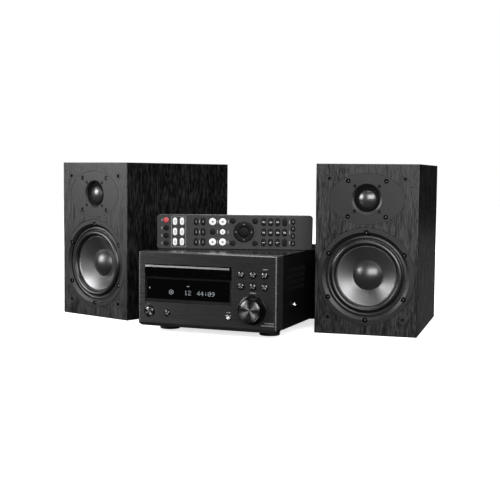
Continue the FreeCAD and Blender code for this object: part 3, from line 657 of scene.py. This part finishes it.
def volume_knob():
    """A tapered gloss skirt with a chamfered rim round a lathe-turned face."""
    outline = [(0, -10.3), (14.9, -10.3), (15.3, -11.3)] + arc((15.8, -11.0), 0.5, 250, 325, 6)
    outline += [(KNOB_R - 0.4, -1.2)] + arc((KNOB_R - 0.5, -0.9), 0.4, -20, 60, 5)
    outline += [(KNOB_R - 1.8, -0.6), (14.5, -8.6), (6, -8.6), (6, -1.5), (3.25, -1.5), (3.25, 8), (0, 8)]
    bm = bmesh.new()
    lathe(bm, KNOB, outline)
    finish_piece("gloss_knob", bm, RECEIVER, "volume", "knob", ["volume_knob"])
    turned_face("knob_turned_face", KNOB, 14.85, -10.75, "volume", "knob_face")


def round_key(name, node, centre, radius, face, front, body):
    """A round gloss key with a turned metal face."""
    bm = bmesh.new()
    slab(bm, circle_outline(*centre, radius), front, 5.2, 0.5, 4)
    finish_piece(f"{name}_cap", bm, RECEIVER, body, "knob", [node], 60)
    turned_face(f"{name}_face", centre, face, front - 0.4, body, "key_face")


def ring_piece(name, centre, inner, outer, front, look, back=0.0):
    """A ring with a rounded front, on the receiver's face."""
    half = (outer - inner) / 2
    bm = bmesh.new()
    outline = [(inner, back)] + arc((inner + half, front + half), half, 180, 360, 10) + [(outer, back)]
    lathe(bm, centre, outline, steps=72)
    finish_piece(name, bm, RECEIVER, "receiver", look)


def key_caps():
    """The six play keys, the power button and the source button."""
    for name, centre in KEYS.items():
        round_key(name, f"key_{name}", centre, 4.9, 3.75, -1.2, f"{name}_key")
    round_key("power", "power_button", POWER, 7.0, 6.1, -0.6, "power")
    round_key("source", "source_button", SOURCE, 4.3, 3.3, -0.6, "source")


# 5 x 7 dot characters of the display, one row of dots per word
DOTS = {
    "0": "01110 10001 10011 10101 11001 10001 01110", "1": "00100 01100 00100 00100 00100 00100 01110",
    "2": "01110 10001 00001 00110 01000 10000 11111", "4": "00010 00110 01010 10010 11111 00010 00010",
    "9": "01110 10001 10001 01111 00001 00010 01100", ":": "00000 00100 00100 00000 00100 00100 00000",
}
DOT = 0.68
DOT_PITCH = 0.92
LIT_FRONT = 0.5
LIT_BACK = 0.58
DISC_MARK = (-53.0, 58.6)


def write(bm, text, x, z):
    """Lit dots of a text whose lower left corner is at x, z."""
    for letter in text:
        for row, dots in enumerate(DOTS[letter].split()):
            top = z + (6 - row) * DOT_PITCH
            for column, lit in enumerate(dots):
                left = x + column * DOT_PITCH
                if lit == "1":
                    block(bm, left, left + DOT, LIT_FRONT, LIT_BACK, top, top + DOT)
        x += 6 * DOT_PITCH


def display():
    """Lit dot characters: a track number and a playing time, and a disc mark."""
    bm = bmesh.new()
    write(bm, "12", -32.5, 55.4)
    write(bm, "44:09", -13.5, 55.4)
    for inner, outer, steps in ((2.7, 3.3, 40), (0.6, 1.2, 24)):
        outline = [(inner, LIT_FRONT), (outer, LIT_FRONT), (outer, LIT_BACK), (inner, LIT_BACK)]
        lathe(bm, DISC_MARK, outline, steps=steps)
    block(bm, -29.0, -25.4, LIT_FRONT, LIT_BACK, 67.2, 68.0)
    finish_piece("display_characters", bm, RECEIVER, "receiver", "glow")
    bm = bmesh.new()
    lathe(bm, (-86.6, 63.3), [(0, 0.45), (0.8, 0.45), (1.0, 0.6), (0, 0.6)], steps=24)
    finish_piece("sensor_lens", bm, RECEIVER, "receiver", "print_grey")


def window_bevel():
    """The sloping frame round the display pane."""
    outer = rounded_outline(-93.9, 38.4, 43.6, 79.2, 0.5, 4)
    inner = rounded_outline(-90.8, 35.8, 48.2, 76.4, 0.5, 4)
    bm = bmesh.new()
    rings = [[bm.verts.new((x, y, z)) for x, z in outline]
             for outline, y in ((outer, 0.6), (outer, 0.1), (inner, 0.5), (inner, 0.6))]
    count = len(outer)
    for one, two in zip(rings, rings[1:] + rings[:1]):
        for k in range(count):
            bm.faces.new((one[k], one[(k + 1) % count], two[(k + 1) % count], two[k]))
    finish_piece("display_window_bevel", bm, RECEIVER, "receiver", "bezel")


def fascia_details():
    """The window's bevel, the tray's strip, the rings round the buttons and socket, and the printed marks."""
    window_bevel()
    bm = bmesh.new()
    slab(bm, rounded_outline(-93.2, 34.9, 92.9, 95.5, 0.4, 4), -0.02, 0.6)
    finish_piece("tray_silver_strip", bm, RECEIVER, "tray", "silver")
    ring_piece("power_ring", POWER, 7.05, 8.4, -0.5, "knob")
    ring_piece("source_ring", SOURCE, 4.35, 5.1, -0.3, "knob")
    ring_piece("jack_ring", JACK, 1.9, 3.7, -0.95, "steel", back=-0.75)
    bars_piece("fascia_marks", [(84.1, 91.0, 95.5, 96.4), (65.6, 74.0, 62.9, 63.8), (31.0, 37.0, 34.4, 35.2),
                                (-88.6, -87.4, 40.1, 41.3)],
               RECEIVER, "receiver", "print_grey")
    bars_piece("fascia_small_print", [(87.1, 100.7, 22.2, 23.8), (82.0, 100.8, 18.8, 20.4)],
               RECEIVER, "receiver", "print_dark")


def rear_details():
    """Coloured collars on the receiver's terminals and rings round its line sockets."""
    for k, x in enumerate(TERMINALS_X):
        bm = bmesh.new()
        outline = [(5.45, 277.0)] + arc((6.0, 277.8), 0.5, 200, 360, 6) + [(6.5, 283.0)]
        outline += arc((6.0, 283.2), 0.5, 0, 160, 6) + [(5.45, 283.6)]
        lathe(bm, (x, TERMINALS_Z), outline, steps=48)
        finish_piece(f"terminal_collar_{k + 1}", bm, RECEIVER, "receiver",
                     "red_plastic" if k % 2 else "black_plastic")
    ring = [(4.2, 271.5), (5.7, 271.5), (5.7, 272.6), (5.2, 273.0), (4.2, 273.0)]
    for column, x in enumerate(LINE_SOCKETS_X):
        for row, z in enumerate(LINE_SOCKETS_Z):
            bm = bmesh.new()
            lathe(bm, (x, z), ring, steps=40)
            finish_piece(f"line_ring_{column + 1}_{row + 1}", bm, RECEIVER, "receiver",
                         "print_white" if row else "red_plastic")


def receiver():
    """Everything on the receiver."""
    paint("fascia", "fascia")
    paint("window", "display_window", "tray_front")
    paint("cover", "top_cover", "rear_panel", "chassis_tray")
    paint("top", "top_plate")
    paint("black_plastic", "cd_loader", "disc_tray", "turntable_hub", "power_transformer")
    paint("board", "front_board", "main_board")
    paint("chrome", "case_screws", "headphone_jack")
    paint("gold", "rear_connectors")
    paint("rubber", "receiver_feet")
    volume_knob()
    key_caps()
    display()
    fascia_details()
    rear_details()


# ---- remote control ----------------------------------------------------------------------------
REMOTE_L = 227.6
ROWS = (10.6, 25.4, 40.5)
LIGHT_COLUMNS = (26.3, 36.5)
DARK_COLUMNS = (57.1, 67.3)
PLAY_COLUMNS = (81.3, 96.0)
PLAY_ROWS = (10.8, 40.4)
STOP = (96.0, 25.5)
NUMBER_COLUMNS = (155.8, 166.0, 176.3, 186.6)
NARROW_COLUMN = 198.7
NARROW_ROWS = (9.6, 20.3, 31.1, 41.4)
ROUND_ROWS = (8.5, 19.6, 30.8)
POWER_KEY = (13.3, 42.4)
CURSOR = (126.9, 25.7)
CURSOR_DOTS_R = 11.4
KEY_FRONT = -1.2
KEY_FOOT = 3.3
MARK_FRONT = -1.4
MARK_BACK = -1.3


def along(u):
    """X of a place u mm from the emitter end."""
    return u - REMOTE_L / 2


def pill(u, z, width, height, radius, count=8):
    """A rounded upright rectangle's points about a place u mm from the emitter end."""
    return rounded_outline(along(u) - width / 2, along(u) + width / 2, z - height / 2, z + height / 2,
                           radius, count)


def key_piece(name, body, look, node, rounds, pills):
    """The tops of one rubber mat's keys: round ones as (u, z, radius), pills as (u, z, width, height)."""
    bm = bmesh.new()
    for u, z, radius in rounds:
        slab(bm, circle_outline(along(u), z, radius, 40), KEY_FRONT, KEY_FOOT, 0.6, 4, crown=0.15)
    for u, z, width, height in pills:
        outline = pill(u, z, width, height, width / 2 - 0.05)
        slab(bm, outline, KEY_FRONT, KEY_FOOT, 0.6, 4, crown=0.15)
    finish_piece(name, bm, REMOTE, body, look, [node], 50)


def remote_keys():
    """The red power key, the dark keys and the white keys."""
    key_piece("power_key_cap", "power_switch", "red_key", "power_key", [(*POWER_KEY, 4.0)], [])
    dark = [(POWER_KEY[0], z, 3.7) for z in ROUND_ROWS] + [(PLAY_COLUMNS[0], STOP[1], 4.0)]
    dark += [(u, z, 4.0) for u in (110.6, 143.2) for z in (9.0, 41.8)]
    dark_pills = [(u, z, 6.2, 11.0) for u in DARK_COLUMNS for z in ROWS]
    dark_pills += [(u, z, 6.7, 11.4) for u in NUMBER_COLUMNS for z in ROWS]
    dark_pills += [(NARROW_COLUMN, z, 5.9, 8.4) for z in NARROW_ROWS]
    key_piece("dark_key_caps", "dark_keypad", "dark_key", "dark_keys", dark, dark_pills)
    white = [(u, z, 5.25) for u in PLAY_COLUMNS for z in PLAY_ROWS] + [(*STOP, 4.0)]
    white_pills = [(u, z, 6.2, 11.0) for u in LIGHT_COLUMNS for z in ROWS]
    key_piece("white_key_caps", "light_keypad", "white_key", "white_keys", white, white_pills)


def remote_cursor():
    """The direction ring with its four dots, and the enter key inside it."""
    centre = (along(CURSOR[0]), CURSOR[1])
    outline = [(7.65, KEY_FOOT), (7.65, -0.9)] + arc((8.6, -1.0), 0.8, 180, 270, 5)
    outline += arc((14.2, -1.0), 0.8, 270, 360, 5) + [(15.0, KEY_FOOT)]
    bm = bmesh.new()
    lathe(bm, centre, outline, steps=96)
    finish_piece("cursor_ring_cap", bm, REMOTE, "cursor", "dark_key", ["direction_ring"], 40)
    bm = bmesh.new()
    slab(bm, circle_outline(*centre, 7.45, 64), -1.6, KEY_FOOT, 0.9, 4, crown=0.4)
    finish_piece("enter_key_cap", bm, REMOTE, "enter", "dark_key", ["enter_key"], 50)
    bm = bmesh.new()
    for k in range(4):
        a = math.radians(90 * k)
        dot = (centre[0] + CURSOR_DOTS_R * math.cos(a), centre[1] + CURSOR_DOTS_R * math.sin(a))
        slab(bm, circle_outline(*dot, 0.75, 16), -1.84, -1.7)
    finish_piece("cursor_dots", bm, REMOTE, "cursor", "print_grey")


# Digit strokes on a 2 x 4 grid of (across, up) points
DIGITS = {
    "1": [(0, 3), (1, 4), (1, 0)], "2": [(0, 4), (2, 4), (2, 2), (0, 2), (0, 0), (2, 0)],
    "3": [(0, 4), (2, 4), (2, 2), (0, 2), (2, 2), (2, 0), (0, 0)],
    "4": [(0, 4), (0, 2), (2, 2), (2, 4), (2, 0)], "5": [(2, 4), (0, 4), (0, 2), (2, 2), (2, 0), (0, 0)],
    "6": [(2, 4), (0, 4), (0, 0), (2, 0), (2, 2), (0, 2)], "7": [(0, 4), (2, 4), (1, 0)],
    "8": [(0, 4), (2, 4), (2, 0), (0, 0), (0, 2), (2, 2), (0, 2), (0, 4)],
    "9": [(2, 2), (0, 2), (0, 4), (2, 4), (2, 0), (0, 0)], "0": [(0, 0), (0, 4), (2, 4), (2, 0), (0, 0)],
}


def stroke(bm, start, end, width, front, back):
    """A straight printed stroke between two (x, z) points."""
    dx, dz = end[0] - start[0], end[1] - start[1]
    length = math.hypot(dx, dz)
    ux, uz = dx / length * width / 2, dz / length * width / 2
    corners = [(start[0] - ux + uz, start[1] - uz - ux), (end[0] + ux + uz, end[1] + uz - ux),
               (end[0] + ux - uz, end[1] + uz + ux), (start[0] - ux - uz, start[1] - uz + ux)]
    slab(bm, corners, front, back)


def remote_digits():
    """The digits on the number keys; their tops point to the emitter end."""
    bm = bmesh.new()
    places = [(u, z) for u in NUMBER_COLUMNS[:3] for z in ROWS] + [(NUMBER_COLUMNS[3], ROWS[1])]
    for digit, (u, z) in zip("1234567890", places):
        points = [(along(u) - (up - 2) * 0.8, z + (across - 1) * 0.8) for across, up in DIGITS[digit]]
        for start, end in zip(points, points[1:]):
            stroke(bm, start, end, 0.45, -1.44, MARK_BACK)
    finish_piece("number_key_digits", bm, REMOTE, "dark_keypad", "print_white")


def print_frame(bm, u0, u1, z0, z1, width):
    """A thin printed rectangle."""
    corners = [(along(u0), z0), (along(u1), z0), (along(u1), z1), (along(u0), z1)]
    for start, end in zip(corners, corners[1:] + corners[:1]):
        stroke(bm, start, end, width, PRINT_FRONT, PRINT_FRONT + PRINT_DEPTH)


def remote_print():
    """Label bars beside the keys and the frame round the light ones; marks on the key tops."""
    bars = [(u - 0.5, u + 0.5, z - 2.4, z + 2.4) for u in (62.0, 88.6, 104.0, 193.6) for z in ROWS]
    bars += [(6.5, 7.5, z - 1.9, z + 1.9) for z in (*ROUND_ROWS, POWER_KEY[1])]
    bars_piece("remote_labels", [(along(u0), along(u1), z0, z1) for u0, u1, z0, z1 in bars],
               REMOTE, "remote", "print_grey")
    bm = bmesh.new()
    print_frame(bm, 20.9, 41.9, 3.2, 48.0, 0.5)
    finish_piece("remote_frame_print", bm, REMOTE, "remote", "print_grey")
    light = [pill(u, z, 1.0, 4.4, 0.3, 3) for u in LIGHT_COLUMNS for z in ROWS]
    light += [circle_outline(along(u), z, 1.7, 6) for u in PLAY_COLUMNS for z in PLAY_ROWS]
    light.append(circle_outline(along(STOP[0]), STOP[1], 1.3, 6))
    dark = [pill(u, z, 0.8, 3.6, 0.3, 3) for u in DARK_COLUMNS for z in ROWS]
    dark += [pill(NARROW_COLUMN, z, 0.8, 2.8, 0.3, 3) for z in NARROW_ROWS]
    for name, outlines, body, slot, look in (
            ("light_key_marks", light, "light_keypad", "key_white", "print_dark"),
            ("dark_key_marks", dark, "dark_keypad", "key_dark", "print_grey")):
        bm = bmesh.new()
        for outline in outlines:
            slab(bm, outline, MARK_FRONT, MARK_BACK)
        finish_piece(name, bm, REMOTE, body, look)


def remote():
    """Everything on the remote."""
    paint("remote", "remote_front_case", "remote_back_case", "battery_door")
    paint("board", "remote_board")
    paint("steel", "remote_batteries")
    remote_keys()
    remote_cursor()
    remote_digits()
    remote_print()


# ---- stage -------------------------------------------------------------------------------------
CAMERA_PLACE = (567.7, -1292.0, 224.9)
CAMERA_TURN = 21.26
CAMERA_DOWN = 4.25
CAMERA_ROLL = 0.54
LENS = 73.95
FLOOR_DROP = 0.0003
AIM_HEIGHT = 0.1
# azimuth, elevation, distance, size and power
SOFTBOXES = {
    "key_softbox": (32, 19, 2.2, (2.0, 1.1), 64),
    "left_softbox": (-50, 17, 2.2, (1.1, 0.9), 50),
    "top_softbox": (-15, 80, 2.0, (1.3, 0.9), 30),
    "low_reflector": (168, -9, 1.5, (0.7, 0.4), 0.18),
    "right_back_softbox": (165, 36, 2.4, (1.8, 1.4), 12),
    "left_back_softbox": (-140, 38, 2.4, (1.8, 1.4), 40),
}


def camera():
    """The camera, placed in the receiver's millimetres."""
    data = bpy.data.cameras.new("camera")
    data.sensor_width = 36
    data.lens = LENS
    data.clip_end = 50
    made = bpy.data.objects.new("camera", data)
    bpy.context.scene.collection.objects.link(made)
    turn, down = math.radians(CAMERA_TURN), math.radians(CAMERA_DOWN)
    look = Vector((-math.sin(turn) * math.cos(down), math.cos(turn) * math.cos(down), -math.sin(down)))
    made.rotation_mode = "QUATERNION"
    roll = Quaternion((0, 0, 1), math.radians(CAMERA_ROLL))
    made.rotation_quaternion = look.to_track_quat("-Z", "Y") @ roll
    made.location = RECEIVER @ Vector(CAMERA_PLACE)
    bpy.context.scene.camera = made


def softbox(name, azimuth, elevation, distance, size, energy):
    """A softbox aimed at the group. Azimuth 0 stands in front of it and 90 to its right."""
    a = math.radians(azimuth)
    e = math.radians(elevation)
    place = Vector((math.sin(a) * math.cos(e), -math.cos(a) * math.cos(e), math.sin(e))) * distance
    data = bpy.data.lights.new(name, "AREA")
    data.shape = "RECTANGLE"
    data.size, data.size_y = size
    data.energy = energy
    made = bpy.data.objects.new(name, data)
    bpy.context.scene.collection.objects.link(made)
    made.location = place + Vector((0, 0, AIM_HEIGHT))
    made.rotation_mode = "QUATERNION"
    made.rotation_quaternion = (-place).to_track_quat("-Z", "Y")


def pale_floor():
    """A white floor that brightens away from the group, so that only a faint contact shadow shows."""
    bm = bmesh.new()
    bmesh.ops.create_grid(bm, x_segments=8, y_segments=8, size=6)
    mesh = bpy.data.meshes.new("floor")
    bm.to_mesh(mesh)
    bm.free()
    floor = bpy.data.objects.new("floor", mesh)
    floor.location.z = -FLOOR_DROP
    bpy.context.scene.collection.objects.link(floor)
    floor.visible_diffuse = False
    floor.visible_glossy = False
    floor.visible_shadow = False
    m = Material("pale_floor", 0.9, Specular_IOR_Level=0.0)
    m.colour(m.ramp(m.noise(m.coordinates(), 3.0), (0.3, (0.78, 0.78, 0.78)), (0.7, (0.8, 0.8, 0.8))))
    distance = m.add("ShaderNodeVectorMath", operation="LENGTH")
    m.link(m.coordinates(), distance.inputs[0])
    glow = m.spread(distance.outputs["Value"], 0.72, 1.1, 0.35, 1.1)
    m.shader.inputs["Emission Color"].default_value = (1, 1, 1, 1)
    m.link(glow, m.shader.inputs["Emission Strength"])
    mesh.materials.append(m.material)


def stage():
    """The floor, the white surroundings and the lights."""
    pale_floor()
    world = bpy.data.worlds.new("studio")
    bpy.context.scene.world = world
    world.use_nodes = True
    world.node_tree.nodes["Background"].inputs["Color"].default_value = (1, 1, 1, 1)
    world.node_tree.nodes["Background"].inputs["Strength"].default_value = 1.0
    world.cycles_visibility.diffuse = False
    world.cycles_visibility.glossy = False
    world.cycles_visibility.transmission = False
    for name, settings in SOFTBOXES.items():
        softbox(name, *settings)
    bpy.context.scene.view_settings.view_transform = "Standard"


camera()
stage()
speaker("left", LEFT)
speaker("right", RIGHT)
receiver()
remote()
